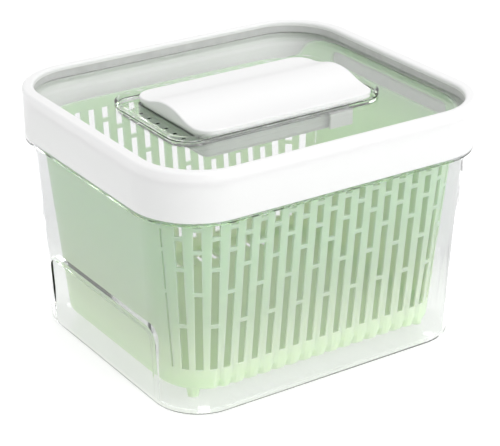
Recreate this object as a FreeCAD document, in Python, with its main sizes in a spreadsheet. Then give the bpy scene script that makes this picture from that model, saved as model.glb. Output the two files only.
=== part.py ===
import FreeCAD, Part
import math
import operator
import os

import Sketcher
from FreeCAD import Vector

# A produce keeper: a clear bin, a slotted colander basket that stands in it, and a lid with a clear
# window, a sliding vent and a carbon filter compartment under it.
# Frame: X along the long side, Y across, the slotted front wall at -Y, Z up.
# The origin is the middle of the footprint, on the surface that the bin stands on. Millimetres.

DRIVING_SIZES = (
    ("bin_floor_length", 211.6, "bin, outside, at its floor"),
    ("bin_floor_width", 183.0, "bin, outside, at its floor"),
    ("bin_floor_corner", 31.0, "bin corner radius at the floor"),
    ("bin_height", 141.0, "mouth of the bin above the table"),
    ("bin_draft", 3.2, "degrees that the bin walls lean out"),
    ("bin_wall", 2.3, "bin wall"),
    ("bin_floor_thick", 3.0, "bin floor"),
    ("bin_edge_radius", 3.4, "rounding of the bin's bottom edge, outside"),
    ("foot_height", 1.0, "moulded feet under the bin"),
    ("foot_radius", 3.5, "moulded feet under the bin"),
    ("foot_from_end", 21.8, "feet from the floor's edge, along X"),
    ("foot_from_side", 11.5, "feet from the floor's edge, along Y"),
    ("grip_width", 122.0, "finger grips pressed into the bin's ends"),
    ("grip_ledge", 49.5, "height of the ledge that the fingers catch"),
    ("grip_corner", 6.0, "corner radius of the finger grips"),
    ("flange_thick", 1.8, "flange of the bin under the lid's skirt"),
    ("flange_proud", 0.5, "flange beyond the skirt"),
    ("basket_gap_along", 1.65, "basket to the bin's mouth, at the ends"),
    ("basket_gap_across", 3.1, "basket to the bin's mouth, at the long sides"),
    ("basket_floor_corner", 29.0, "basket corner radius at the floor"),
    ("sump_depth", 7.0, "space under the basket for drained water"),
    ("basket_draft", 5.9, "degrees that the basket walls lean out"),
    ("basket_wall", 2.0, "basket wall and floor"),
    ("basket_edge_radius", 2.0, "rounding of the basket's bottom edge, outside"),
    ("basket_inner_radius", 10.0, "rounding between the basket's floor and walls, inside"),
    ("basket_top_gap", 1.0, "basket's end walls to the window above them"),
    ("dip_depth", 14.0, "basket's long walls below its end walls"),
    ("dip_from_end", 8.25, "level stretch of the long walls' top, inside the floor's ends"),
    ("dip_run", 19.5, "length of the curve up to the end walls"),
    ("handle_length", 120.0, "hand holes in the end walls"),
    ("handle_height", 9.0, "hand holes in the end walls"),
    ("handle_drop", 9.0, "middle of the hand holes below the end walls' top"),
    ("stud_radius", 4.5, "studs that the basket stands on"),
    ("stud_draft", 8.0, "degrees that the studs narrow downwards"),
    ("stud_reach", 23.0, "studs from the corner centres, towards the corners"),
    ("slot_pitch", 9.85, "from one slot column to the next, along the wall"),
    ("slot_turn", 42.6, "how far the columns go on round the corners of a long wall"),
    ("slot_width", 4.7, "drain slots"),
    ("slit_width", 1.2, "drain slots of the last column on each corner, mere slits"),
    ("slot_foot_rise", 14.0, "lower end of the slot columns above the basket's underside"),
    ("slot_head_drop", 7.0, "upper end of the slot columns below the long walls' top"),
    ("bridge_height", 2.4, "bridges that break up a slot column"),
    ("bridge_first", 30.0, "lowest bridge above the slot foot"),
    ("bridge_ratio", 0.73, "each step to the next bridge, as a share of the last"),
    ("groove_depth", 3.0, "grooves between the columns, at the bottom edge, which scallop it"),
    ("groove_knee_depth", 1.0, "grooves between the columns, where they turn up the wall"),
    ("groove_knee", 6.0, "height above the floor's underside where the grooves turn up the wall"),
    ("groove_run", 51.0, "height above the floor's underside where the grooves run out"),
    ("floor_slot_length", 12.4, "drain slots in the rounding below the long walls, along Y"),
    ("mouth_gap_along", 1.5, "lid's skirt to the bin's mouth, at the ends"),
    ("mouth_gap_across", 0.3, "lid's skirt to the bin's mouth, at the long sides"),
    ("lid_rise", 18.7, "rim of the lid above the bin's mouth"),
    ("skirt_height", 30.6, "lid rim to the skirt's lower edge"),
    ("skirt_draft", 1.0, "degrees that the skirt narrows downwards"),
    ("skirt_wall", 1.8, "skirt wall"),
    ("lid_edge_radius", 1.6, "rounding of the lid's top edge"),
    ("rim_along", 7.8, "white rim beside the window, at the ends"),
    ("rim_across", 5.0, "white rim beside the window, at the long sides"),
    ("rim_thick", 3.1, "web of the rim"),
    ("window_corner_step", 6.2, "corner radius of the window's opening, less than the lid's"),
    ("gasket_height", 4.2, "grey gasket between rim and window"),
    ("window_thick", 2.4, "clear window"),
    ("bead_height", 2.0, "bead in the skirt that holds the window up"),
    ("bead_depth", 1.3, "bead beyond the skirt wall"),
    ("collar_length", 150.0, "clear collar of the vent tray"),
    ("collar_width", 86.0, "clear collar of the vent tray"),
    ("collar_corner", 15.0, "corner radius of the collar"),
    ("collar_height", 3.2, "collar above the window"),
    ("collar_wall", 2.2, "collar wall"),
    ("sleeve_step", 1.5, "tray sleeve inside the collar's outline"),
    ("sleeve_wall", 1.8, "tray sleeve wall"),
    ("tray_depth", 2.4, "tray floor below the window's top"),
    ("tray_floor", 1.6, "tray floor"),
    ("vent_count", 7.0, "vent slits in the tray floor"),
    ("vent_pitch", 9.7, "from one vent slit to the next"),
    ("vent_length", 2.6, "vent slits along X"),
    ("vent_width", 1.8, "vent slits across"),
    ("vent_from_slider", 6.2, "row of vent slits from the slider's end, at its open stop"),
    ("slider_end_gap", 3.5, "slider to the collar at its open stop"),
    ("slider_stop_gap", 3.1, "slider to the collar at its closed stop"),
    ("slider_corner", 12.0, "slider corner radius"),
    ("slider_edge", 3.2, "slider's edge above the collar's seat"),
    ("slider_crown", 5.3, "ridge of the slider above its edge"),
    ("crown_run", 31.0, "half width of the ridge"),
    ("slider_round", 1.0, "rounding of the slider's upper edge"),
    ("slider_skin", 2.0, "slider's wall where it is hollow"),
    ("hook_length", 8.0, "hooks that hold the slider in the tray"),
    ("hook_thick", 1.8, "hooks that hold the slider in the tray"),
    ("hook_catch", 1.4, "hook under the tray floor"),
    ("hook_inset", 6.5, "hooks inside the slider's long sides"),
    ("hook_along", 12.0, "hooks from the slider's middle, along X"),
    ("vent_travel", 12.0, "slider from open to closed"),
    ("cage_length", 106.0, "filter cage under the tray"),
    ("cage_inset", 1.0, "filter cage inside the tray's sleeve, at the long sides"),
    ("cage_corner", 6.0, "filter cage corner radius"),
    ("cage_middle", -3.0, "filter cage from the lid's middle, along X"),
    ("cage_depth", 7.4, "filter cage below the tray floor"),
    ("cage_wall", 1.6, "filter cage wall"),
    ("door_thick", 1.6, "filter door"),
    ("door_rim_height", 3.0, "rim round the filter door"),
    ("door_rim_wall", 1.1, "rim round the filter door"),
    ("door_slot_width", 2.6, "air slots in the filter door"),
    ("door_slot_pitch", 6.4, "from one door slot to the next"),
    ("door_slot_count", 13.0, "air slots in the filter door"),
    ("door_slot_length", 52.0, "air slots in the filter door"),
    ("pin_radius", 1.0, "hinge pin"),
    ("knuckle_radius", 2.1, "hinge knuckles"),
    ("knuckle_length", 14.0, "hinge knuckles"),
    ("pin_gap", 0.1, "hinge pin to the door's knuckles, all round"),
    ("latch_length", 17.0, "latch tab at the door's front"),
    ("latch_thick", 1.8, "latch tab"),
    ("latch_from_end", 10.5, "middle of the latch tab inside the cage's end"),
    ("latch_top_gap", 1.0, "latch tab to the window above it"),
    ("pouch_end_gap", 7.0, "carbon filter pouch inside the cage's ends"),
    ("pouch_side_gap", 12.5, "carbon filter pouch inside the cage's long sides"),
    ("pouch_thick", 5.0, "carbon filter pouch"),
    ("pouch_waist", 2.0, "how far the pouch's sides draw in"),
    ("seat_gap", 0.2, "between pieces that rest on each other and lift off"),
    ("fit_gap", 0.2, "between pieces that stay together"),
    ("run_gap", 0.3, "between pieces that move past each other"),
)

doc = FreeCAD.newDocument("produce_keeper")
sheet = doc.addObject("Spreadsheet::Sheet", "Sizes")
for row, (alias, number, meaning) in enumerate(DRIVING_SIZES, 1):
    sheet.set(f"A{row}", meaning)
    sheet.set(f"B{row}", str(number))
    sheet.setAlias(f"B{row}", alias)
doc.recompute()

OPERATIONS = {"+": operator.add, "-": operator.sub, "*": operator.mul, "/": operator.truediv}

# The four quarters of the plan, as signs of X and Y.
QUARTERS = ((1, 1), (1, -1), (-1, -1), (-1, 1))


class Size:
    """A number that remembers the spreadsheet formula it comes from."""

    def __init__(self, value, formula):
        self.value = value
        self.formula = formula

    def __add__(self, other):
        return joined(self, "+", other)

    def __radd__(self, other):
        return joined(other, "+", self)

    def __sub__(self, other):
        return joined(self, "-", other)

    def __rsub__(self, other):
        return joined(other, "-", self)

    def __mul__(self, other):
        return joined(self, "*", other)

    def __rmul__(self, other):
        return joined(other, "*", self)

    def __truediv__(self, other):
        return joined(self, "/", other)


def as_size(number):
    return number if isinstance(number, Size) else Size(float(number), repr(float(number)))


def joined(left, sign, right):
    left = as_size(left)
    right = as_size(right)
    value = OPERATIONS[sign](left.value, right.value)
    return Size(value, f"({left.formula} {sign} {right.formula})")


def tangent(angle):
    return Size(math.tan(math.radians(angle.value)), f"tan({angle.formula} * 1 deg)")


class SheetSizes:
    """Gives each named cell of the spreadsheet as a Size."""

    def __getattr__(self, alias):
        return Size(float(sheet.get(alias)), f"Sizes.{alias}")


s = SheetSizes()

# Levels that several pieces share, each stacked on another.
bin_inside_level = s.foot_height + s.bin_floor_thick
basket_floor_level = bin_inside_level + s.sump_depth
lid_top = s.bin_height + s.lid_rise
skirt_level = lid_top - s.skirt_height
window_top = lid_top - s.rim_thick - s.gasket_height
window_level = window_top - s.window_thick
basket_end_top = window_level - s.basket_top_gap
basket_side_top = basket_end_top - s.dip_depth
slot_foot = basket_floor_level + s.slot_foot_rise
slot_head = basket_side_top - s.slot_head_drop
tray_level = window_top - s.tray_depth
tray_underside = tray_level - s.tray_floor
cage_level = tray_underside - s.cage_depth
door_top = cage_level - s.fit_gap
door_level = door_top - s.door_thick

# The vent slider's place: at its open stop, near the collar's +X end.
channel_half = s.collar_length / 2 - s.collar_wall
slider_end = channel_half - s.slider_end_gap
slider_start = s.slider_stop_gap + s.vent_travel - channel_half
slider_length = slider_end - slider_start
slider_middle = (slider_start + slider_end) / 2
slider_width = s.collar_width - 2 * s.collar_wall - 2 * s.run_gap

# The filter cage hangs under the tray's sleeve, and its door turns about a pin behind it.
cage_width = s.collar_width - 2 * s.sleeve_step - 2 * s.cage_inset
hinge_across = cage_width / 2 + s.knuckle_radius + s.run_gap
hinge_level = door_level + s.door_thick / 2


def inside(outline, wall):
    """An outline, as length, width and corner radius, moved inwards by a wall."""
    length, width, corner = outline
    return length - 2 * wall, width - 2 * wall, corner - wall


def leaning(outline, rise, draft):
    """An outline moved outwards by the lean of its walls over a rise."""
    return inside(outline, -1 * rise * tangent(draft))


# The lid and the basket take their outlines from the bin's mouth.
bin_floor = (s.bin_floor_length, s.bin_floor_width, s.bin_floor_corner)
bin_mouth = leaning(bin_floor, s.bin_height - s.foot_height, s.bin_draft)


def basket_floor_outline():
    """The basket's outside at its floor: clear of the bin's mouth, then leaning in downwards."""
    length, width, _ = inside(bin_mouth, s.bin_wall)
    lean = (s.bin_height - basket_floor_level) * tangent(s.basket_draft)
    floor_length = length - 2 * (s.basket_gap_along + lean)
    floor_width = width - 2 * (s.basket_gap_across + lean)
    return floor_length, floor_width, s.basket_floor_corner


basket_floor = basket_floor_outline()
basket_length, basket_width, basket_corner = basket_floor


def skirt_outside(rise):
    """The skirt's outer face this far above its lower edge, where its inner face clears the mouth."""
    length, width, corner = leaning(inside(bin_mouth, -1 * s.skirt_wall), rise, s.skirt_draft)
    mean_gap = (s.mouth_gap_along + s.mouth_gap_across) / 2
    return length + 2 * s.mouth_gap_along, width + 2 * s.mouth_gap_across, corner + mean_gap


def bind(item, name, size):
    item.setExpression(name, as_size(size).formula)


def new_body(label):
    body = doc.addObject("PartDesign::Body", label)
    body.Label = label
    return body


def origin_plane(body, role):
    return next(plane for plane in body.Origin.OriginFeatures if plane.Role == role)


def sketch_on(body, name, level=0, role="XY_Plane", along=0, across=0):
    """A sketch on one of the body's own planes, moved along that plane's normal and in it."""
    sketch = body.newObject("Sketcher::SketchObject", name)
    sketch.AttachmentSupport = (origin_plane(body, role), [""])
    sketch.MapMode = "FlatFace"
    bind(sketch, "AttachmentOffset.Base.x", along)
    bind(sketch, "AttachmentOffset.Base.y", across)
    bind(sketch, "AttachmentOffset.Base.z", level)
    return sketch


def dimension(sketch, kind, places, size, name):
    index = sketch.addConstraint(Sketcher.Constraint(kind, *places, as_size(size).value))
    sketch.renameConstraint(index, name)
    bind(sketch, f"Constraints.{name}", size)


def constrain(sketch, kind, *places):
    sketch.addConstraint(Sketcher.Constraint(kind, *places))


def rounded_rectangle(sketch, length, width, radius):
    """Four sides and four corner arcs about the sketch's middle."""
    first = sketch.GeometryCount
    half_length = as_size(length).value / 2
    half_width = as_size(width).value / 2
    corner = as_size(radius).value
    reach = half_length - corner
    rise = half_width - corner
    corners = ((reach, -rise), (reach, rise), (-reach, rise), (-reach, -rise))
    for turn, (x, y) in enumerate(corners):
        outwards = math.radians(90 * turn - 90)
        normal = Vector(math.cos(outwards), math.sin(outwards), 0)
        end = Vector(x, y, 0) + corner * normal
        before = corners[turn - 1]
        start = Vector(before[0], before[1], 0) + corner * normal
        sketch.addGeometry(Part.LineSegment(start, end))
        whole = Part.Circle(Vector(x, y, 0), Vector(0, 0, 1), corner)
        sketch.addGeometry(Part.ArcOfCircle(whole, outwards, outwards + math.pi / 2))
    for step in range(8):
        constrain(sketch, "Tangent", first + step, 2, first + (step + 1) % 8, 1)
    for side in (0, 4):
        constrain(sketch, "Horizontal", first + side)
        constrain(sketch, "Vertical", first + side + 2)
    for arc in (1, 3, 5):
        constrain(sketch, "Equal", first + arc, first + arc + 2)
    constrain(sketch, "Symmetric", first, 1, first + 4, 1, -1, 1)
    dimension(sketch, "DistanceX", (first + 6, 1, first + 2, 1), length, f"length_{first}")
    dimension(sketch, "DistanceY", (first, 1, first + 4, 1), width, f"width_{first}")
    dimension(sketch, "Radius", (first + 1,), radius, f"radius_{first}")


def rectangle(sketch, length, width):
    """Four sides about the sketch's middle."""
    first = sketch.GeometryCount
    x = as_size(length).value / 2
    y = as_size(width).value / 2
    corners = [Vector(-x, -y, 0), Vector(x, -y, 0), Vector(x, y, 0), Vector(-x, y, 0)]
    for turn in range(4):
        sketch.addGeometry(Part.LineSegment(corners[turn], corners[(turn + 1) % 4]))
    for turn in range(4):
        constrain(sketch, "Coincident", first + turn, 2, first + (turn + 1) % 4, 1)
    for side in (0, 2):
        constrain(sketch, "Horizontal", first + side)
        constrain(sketch, "Vertical", first + side + 1)
    constrain(sketch, "Symmetric", first, 1, first + 2, 1, -1, 1)
    dimension(sketch, "DistanceX", (first, 1, first, 2), length, f"length_{first}")
    dimension(sketch, "DistanceY", (first + 1, 1, first + 1, 2), width, f"width_{first}")


def circle(sketch, radius):
    first = sketch.GeometryCount
    sketch.addGeometry(Part.Circle(Vector(0, 0, 0), Vector(0, 0, 1), as_size(radius).value))
    constrain(sketch, "Coincident", first, 3, -1, 1)
    dimension(sketch, "Radius", (first,), radius, f"radius_{first}")


def pad(body, sketch, length, taper=None, backwards=False):
    feature = body.newObject("PartDesign::Pad", f"{sketch.Name}_pad")
    feature.Profile = sketch
    feature.Reversed = backwards
    bind(feature, "Length", length)
    if taper is not None:
        bind(feature, "TaperAngle", taper)
    sketch.Visibility = False
    doc.recompute()
    return feature


def pocket(body, sketch, length=None, taper=None, backwards=False, both_ways=False):
    """A cut of this length, or through everything, against the sketch's normal unless backwards."""
    before = body.Shape.Volume
    feature = body.newObject("PartDesign::Pocket", f"{sketch.Name}_pocket")
    feature.Profile = sketch
    feature.Reversed = backwards
    if both_ways:
        feature.SideType = "Symmetric"
    if length is None:
        feature.Type = "ThroughAll"
    else:
        bind(feature, "Length", length)
    if taper is not None:
        bind(feature, "TaperAngle", taper)
    sketch.Visibility = False
    doc.recompute()
    if body.Shape.Volume >= before:
        raise RuntimeError(f"{feature.Name} cuts nothing")
    return feature


def edges_where(feature, wanted):
    return [f"Edge{number}" for number, edge in enumerate(feature.Shape.Edges, 1) if wanted(edge)]


def level_edges(feature, level):
    """The edges of a feature that lie at one height."""
    height = level.value

    def at_height(edge):
        box = edge.BoundBox
        return abs(box.ZMin - height) < 1e-4 and abs(box.ZMax - height) < 1e-4

    return edges_where(feature, at_height)


def fillet(body, base, edges, radius):
    feature = body.newObject("PartDesign::Fillet", f"{base.Name}_fillet")
    feature.Base = (base, edges)
    bind(feature, "Radius", radius)
    doc.recompute()
    return feature


def cut_with(body, tool):
    feature = body.newObject("PartDesign::Boolean", f"{tool.Name}_cut")
    feature.setObjects([tool])
    feature.Type = "Cut"
    doc.recompute()
    return feature


def grip_outline(body, name, level, wall):
    """A finger grip's outline, seen along X: open at the foot, because it runs past the table."""
    outline = sketch_on(body, name, level=level, role="YZ_Plane")
    rounded_rectangle(outline, s.grip_width + 2 * wall, 2 * (s.grip_ledge + wall), s.grip_corner + wall)
    return outline


def grip_cuts(body, plane, wall):
    """Cuts both ends of a body square, from the ledge down, which leaves a recess under the ledge."""
    for side, name in ((-1, "near"), (1, "far")):
        outline = grip_outline(body, f"{body.Name}_grip_{name}", side * plane, wall)
        pocket(body, outline, backwards=side > 0)


def bin_cavity():
    """The space inside the bin, with its floor edge rounded and set in behind the finger grips."""
    body = new_body("bin_cavity")
    outside = leaning(bin_floor, s.bin_floor_thick, s.bin_draft)
    floor = sketch_on(body, "cavity_floor", level=bin_inside_level)
    rounded_rectangle(floor, *inside(outside, s.bin_wall))
    space = pad(body, floor, s.bin_height - bin_inside_level, taper=s.bin_draft)
    fillet(body, space, level_edges(space, bin_inside_level), s.bin_edge_radius - s.bin_wall)
    grip_cuts(body, s.bin_floor_length / 2 - s.bin_wall, s.bin_wall)
    return body


def clear_bin():
    """The clear outer bin: leaning walls, finger grips, a flange for the lid and four feet."""
    cavity = bin_cavity()
    body = new_body("bin")
    floor = sketch_on(body, "bin_floor", level=s.foot_height)
    rounded_rectangle(floor, *bin_floor)
    walls = pad(body, floor, s.bin_height - s.foot_height, taper=s.bin_draft)
    fillet(body, walls, level_edges(walls, s.foot_height), s.bin_edge_radius)
    grip_cuts(body, s.bin_floor_length / 2, as_size(0))
    flange_level = skirt_level - s.seat_gap - s.flange_thick
    flange = sketch_on(body, "bin_flange", level=flange_level)
    rounded_rectangle(flange, *inside(skirt_outside(0), -1 * s.flange_proud))
    rim = pad(body, flange, s.flange_thick)
    levels = (flange_level.value, (flange_level + s.flange_thick).value)
    fillet(body, rim, edges_where(rim, lambda edge: is_flange_edge(edge, levels)), s.flange_thick * 0.35)
    cut_with(body, cavity)
    x_foot = s.bin_floor_length / 2 - s.foot_from_end
    y_foot = s.bin_floor_width / 2 - s.foot_from_side
    for number, (x, y) in enumerate(QUARTERS, 1):
        spot = sketch_on(body, f"bin_foot_{number}", along=x * x_foot, across=y * y_foot)
        circle(spot, s.foot_radius)
        pad(body, spot, s.foot_height + s.bin_floor_thick / 2)
    return body


def is_flange_edge(edge, levels):
    """True for the edges round the flange, which lie beyond the wall that it stands out from."""
    box = edge.BoundBox
    middle = edge.valueAt((edge.FirstParameter + edge.LastParameter) / 2)
    length, width, corner = (size.value for size in skirt_outside(0))
    level = box.ZLength < 1e-4 and min(abs(box.ZMin - height) for height in levels) < 1e-4
    return level and outline_distance(middle.x, middle.y, length, width, corner) > -s.skirt_wall.value


def outline_distance(x, y, length, width, corner):
    """How far a point lies outside a rounded rectangle; negative inside it."""
    over_x = abs(x) - (length / 2 - corner)
    over_y = abs(y) - (width / 2 - corner)
    return math.hypot(max(over_x, 0), max(over_y, 0)) + min(max(over_x, over_y), 0) - corner


def basket_cavity():
    """The space inside the basket, with a rounding between its floor and its walls."""
    body = new_body("basket_cavity")
    level = basket_floor_level + s.basket_wall
    outside = leaning(basket_floor, s.basket_wall, s.basket_draft)
    floor = sketch_on(body, "basket_cavity_floor", level=level)
    rounded_rectangle(floor, *inside(outside, s.basket_wall))
    space = pad(body, floor, basket_end_top - level, taper=s.basket_draft)
    fillet(body, space, level_edges(space, level), s.basket_inner_radius)
    return body


def dip_outline(sketch):
    """What is cut from the long walls' top: level, then an S-curve up to the end walls, seen along Y."""
    low = basket_side_top.value
    high = basket_end_top.value
    rise = high - low
    run = s.dip_run.value
    flat_length = basket_length - 2 * s.dip_from_end
    flat = flat_length.value / 2
    bend = (run * run + rise * rise) / (4 * rise)
    sweep = 2 * math.atan2(rise, run)
    lid = high + rise
    up = Vector(0, 0, 1)

    def arc(x, z, start, turn):
        return Part.ArcOfCircle(Part.Circle(Vector(x, z, 0), up, bend), start, start + turn)

    down = -math.pi / 2
    reach = flat + run
    sketch.addGeometry(Part.LineSegment(Vector(-flat, low, 0), Vector(flat, low, 0)))
    sketch.addGeometry(arc(flat, low + bend, down, sweep))
    sketch.addGeometry(arc(reach, high - bend, -down, sweep))
    sketch.addGeometry(Part.LineSegment(Vector(reach, high, 0), Vector(reach, lid, 0)))
    sketch.addGeometry(Part.LineSegment(Vector(reach, lid, 0), Vector(-reach, lid, 0)))
    sketch.addGeometry(Part.LineSegment(Vector(-reach, lid, 0), Vector(-reach, high, 0)))
    sketch.addGeometry(arc(-reach, high - bend, -down - sweep, sweep))
    sketch.addGeometry(arc(-flat, low + bend, down - sweep, sweep))
    level, rise_right, crest_right, side_right, top, side_left, crest_left, rise_left = range(8)
    constrain(sketch, "Tangent", level, 2, rise_right, 1)
    constrain(sketch, "Tangent", rise_right, 2, crest_right, 2)
    constrain(sketch, "Coincident", crest_right, 1, side_right, 1)
    constrain(sketch, "Coincident", side_right, 2, top, 1)
    constrain(sketch, "Coincident", top, 2, side_left, 1)
    constrain(sketch, "Coincident", side_left, 2, crest_left, 2)
    constrain(sketch, "Tangent", crest_left, 1, rise_left, 1)
    constrain(sketch, "Tangent", rise_left, 2, level, 1)
    constrain(sketch, "Vertical", side_right)
    constrain(sketch, "Vertical", side_left)
    constrain(sketch, "Vertical", crest_right, 3, crest_right, 1)
    constrain(sketch, "Vertical", crest_left, 3, crest_left, 2)
    constrain(sketch, "Equal", rise_right, crest_right)
    constrain(sketch, "Equal", rise_left, crest_left)
    constrain(sketch, "Symmetric", level, 1, level, 2, -2)
    constrain(sketch, "Symmetric", top, 1, top, 2, -2)
    dimension(sketch, "DistanceX", (level, 1, level, 2), flat_length, "flat")
    dimension(sketch, "DistanceX", (level, 2, crest_right, 1), s.dip_run, "run")
    dimension(sketch, "DistanceY", (-1, 1, level, 1), basket_side_top, "low")
    dimension(sketch, "DistanceY", (-1, 1, crest_right, 1), basket_end_top, "high")
    dimension(sketch, "DistanceY", (-1, 1, crest_left, 2), basket_end_top, "high_left")
    dimension(sketch, "DistanceY", (side_right, 1, side_right, 2), s.dip_depth, "over")


def basket_shell():
    """The basket before its drain slots are cut: walls, dipped rim, hand holes and studs."""
    cavity = basket_cavity()
    body = new_body("basket_shell")
    floor = sketch_on(body, "basket_floor", level=basket_floor_level)
    rounded_rectangle(floor, *basket_floor)
    walls = pad(body, floor, basket_end_top - basket_floor_level, taper=s.basket_draft)
    fillet(body, walls, level_edges(walls, basket_floor_level), s.basket_edge_radius)
    cut_with(body, cavity)
    dip = sketch_on(body, "basket_dip", role="XZ_Plane")
    dip_outline(dip)
    pocket(body, dip, both_ways=True)
    handle = sketch_on(body, "basket_handle", role="YZ_Plane", across=basket_end_top - s.handle_drop)
    rounded_rectangle(handle, s.handle_length, s.handle_height, s.handle_height * 0.45)
    pocket(body, handle, both_ways=True)
    diagonal = math.sqrt(0.5)
    x_stud = basket_length / 2 - basket_corner + diagonal * s.stud_reach
    y_stud = basket_width / 2 - basket_corner + diagonal * s.stud_reach
    stud_top = basket_floor_level + s.basket_wall / 2
    stud_height = stud_top - bin_inside_level - s.seat_gap
    for number, (x, y) in enumerate(QUARTERS, 1):
        spot = sketch_on(body, f"basket_stud_{number}", level=stud_top, along=x * x_stud, across=y * y_stud)
        circle(spot, s.stud_radius)
        pad(body, spot, stud_height, taper=-1 * s.stud_draft, backwards=True)
    return body


def bridge_heights(turn_over):
    """Heights of one column's bridges: the steps shrink upwards, and columns take turns at them."""
    heights = []
    step = s.bridge_first.value
    height = slot_foot.value + step
    own_turn = not turn_over
    while height < slot_head.value - 3 * s.bridge_height.value:
        if own_turn:
            heights.append(height)
        step *= s.bridge_ratio.value
        height += step
        own_turn = not own_turn
    return heights


def wall_point(distance, side, level):
    """A point on the basket's outer face and its outward normal.

    The distance is measured along a long wall from its middle and goes on round the corners, where
    a line up the wall leans with the corner. The front wall is side -1 and the back wall side 1.
    """
    draft = tangent(s.basket_draft).value
    floor_level = basket_floor_level.value
    corner = basket_corner.value
    flat = basket_length.value / 2 - corner
    middle_level = (slot_foot.value + slot_head.value) / 2
    bend = corner + draft * (middle_level - floor_level)
    turn = max(abs(distance) - flat, 0) / bend
    normal = Vector(math.copysign(math.sin(turn), distance), side * math.cos(turn), 0)
    along = math.copysign(min(abs(distance), flat), distance)
    centre = Vector(along, side * (basket_width.value / 2 - corner), level)
    return centre + (corner + draft * (level - floor_level)) * normal, normal


def slot_prism(distance, side, low, high, width):
    """A prism that cuts one drain slot square to the wall."""
    wall = s.basket_wall.value
    foot, normal = wall_point(distance, side, low)
    head = wall_point(distance, side, high)[0]
    half = width / 2 * Vector(-normal.y, normal.x, 0)
    corners = [point - 2 * wall * normal for point in (foot - half, foot + half, head + half, head - half)]
    return Part.Face(Part.makePolygon(corners + corners[:1])).extrude(3 * wall * normal)


def drain_cutters():
    """Prisms for the drain slots of both long walls, column by column; the last ones are thin."""
    gap = s.bridge_height.value / 2
    reach = basket_length / 2 - basket_corner + s.slot_turn
    columns = int(reach.value / s.slot_pitch.value)
    solids = []
    for number in range(-columns, columns + 1):
        distance = number * s.slot_pitch.value
        width = s.slit_width.value if abs(number) == columns else s.slot_width.value
        bridges = bridge_heights(number % 2 == 1)
        starts = [slot_foot.value] + [height + gap for height in bridges]
        ends = [height - gap for height in bridges] + [slot_head.value]
        for side in (-1, 1):
            solids += [slot_prism(distance, side, low, high, width) for low, high in zip(starts, ends)]
    return solids


def groove_section(distance, side, level, depth):
    """One section of a groove: two hollow flanks that meet in its bottom, and a box beyond the wall."""
    point, normal = wall_point(distance, side, level)
    half = s.slot_pitch.value / 2 * Vector(-normal.y, normal.x, 0)
    beyond = s.groove_depth.value
    hollow = -0.25 * depth
    right = ((0, -depth), (0.5, hollow), (1, 0), (1, beyond))
    left = ((-1, beyond), (-1, 0), (-0.5, hollow))
    corners = [point + across * half + outwards * normal for across, outwards in left + right]
    return Part.makePolygon(corners + corners[:1])


def groove_cutters():
    """Tapering cutters for the grooves between the columns, on both long walls to their corners."""
    floor_level = basket_floor_level.value
    flat = basket_length.value / 2 - basket_corner.value
    grooves = int(flat / s.slot_pitch.value + 0.5)
    depth = s.groove_depth.value
    solids = []
    for number in range(-grooves - 1, grooves + 1):
        distance = (number + 0.5) * s.slot_pitch.value
        for side in (-1, 1):
            sections = (
                (floor_level - s.basket_wall.value, depth),
                (floor_level, depth),
                (floor_level + s.groove_knee.value, s.groove_knee_depth.value),
                (floor_level + s.groove_run.value, s.groove_knee_depth.value / 20),
            )
            wires = [groove_section(distance, side, level, cut) for level, cut in sections]
            solids.append(Part.makeLoft(wires, True, True))
    return solids


def floor_cutters():
    """Prisms for the slots in the rounding at the foot of both long walls, one below each column."""
    width = s.slot_width.value
    length = s.floor_slot_length.value
    pitch = s.slot_pitch.value
    wall = s.basket_wall.value
    flat = basket_length.value / 2 - basket_corner.value
    columns = int((flat - width / 2) / pitch)
    across = basket_width.value / 2 - wall - length / 2
    low = basket_floor_level.value - wall
    height = s.basket_inner_radius.value + 3 * wall
    solids = []
    for number in range(-columns, columns + 1):
        for side in (-1, 1):
            start = Vector(number * pitch - width / 2, side * across - length / 2, low)
            solids.append(Part.makeBox(width, length, height, start))
    return solids


def basket():
    """The colander basket: its shell with every slot and groove cut through."""
    shell = basket_shell()
    cutters = doc.addObject("Part::Feature", "drain_cutters")
    cutters.Shape = Part.Compound(drain_cutters() + floor_cutters() + groove_cutters())
    slotted = doc.addObject("Part::Cut", "basket")
    slotted.Base = shell
    slotted.Tool = cutters
    slotted.Label = "basket"
    doc.recompute()
    return slotted


def lid_frame():
    """The white lid frame: rim, skirt, and the bead inside that holds the window up."""
    body = new_body("lid_frame")
    outer = sketch_on(body, "frame_outline", level=skirt_level)
    rounded_rectangle(outer, *skirt_outside(0))
    pad(body, outer, s.skirt_height, taper=s.skirt_draft)
    hollow = sketch_on(body, "frame_hollow", level=skirt_level)
    rounded_rectangle(hollow, *inside(skirt_outside(0), s.skirt_wall))
    pocket(body, hollow, s.skirt_height - s.rim_thick, taper=s.skirt_draft, backwards=True)
    opening = sketch_on(body, "frame_opening", level=lid_top)
    rounded_rectangle(opening, *window_opening())
    ring = pocket(body, opening, 2 * s.rim_thick)
    upper = level_edges(ring, lid_top)
    rounded = fillet(body, ring, upper, s.lid_edge_radius)
    fillet(body, rounded, level_edges(rounded, skirt_level), s.skirt_wall * 0.3)
    bead_level = window_level - s.bead_height
    wall_face = inside(skirt_outside(bead_level - skirt_level), s.skirt_wall)
    bead = sketch_on(body, "frame_bead", level=bead_level)
    rounded_rectangle(bead, *inside(wall_face, -0.5 * s.skirt_wall))
    rounded_rectangle(bead, *inside(wall_face, s.bead_depth))
    pad(body, bead, s.bead_height)
    return body


def window_opening():
    """The opening in the lid's rim that the window shows through."""
    length, width, corner = skirt_outside(s.skirt_height)
    return length - 2 * s.rim_along, width - 2 * s.rim_across, corner - s.window_corner_step


def panel_outline(level):
    """What fits inside the skirt at a height, with a clearance all round."""
    return inside(skirt_outside(level - skirt_level), s.skirt_wall + s.fit_gap)


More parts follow.
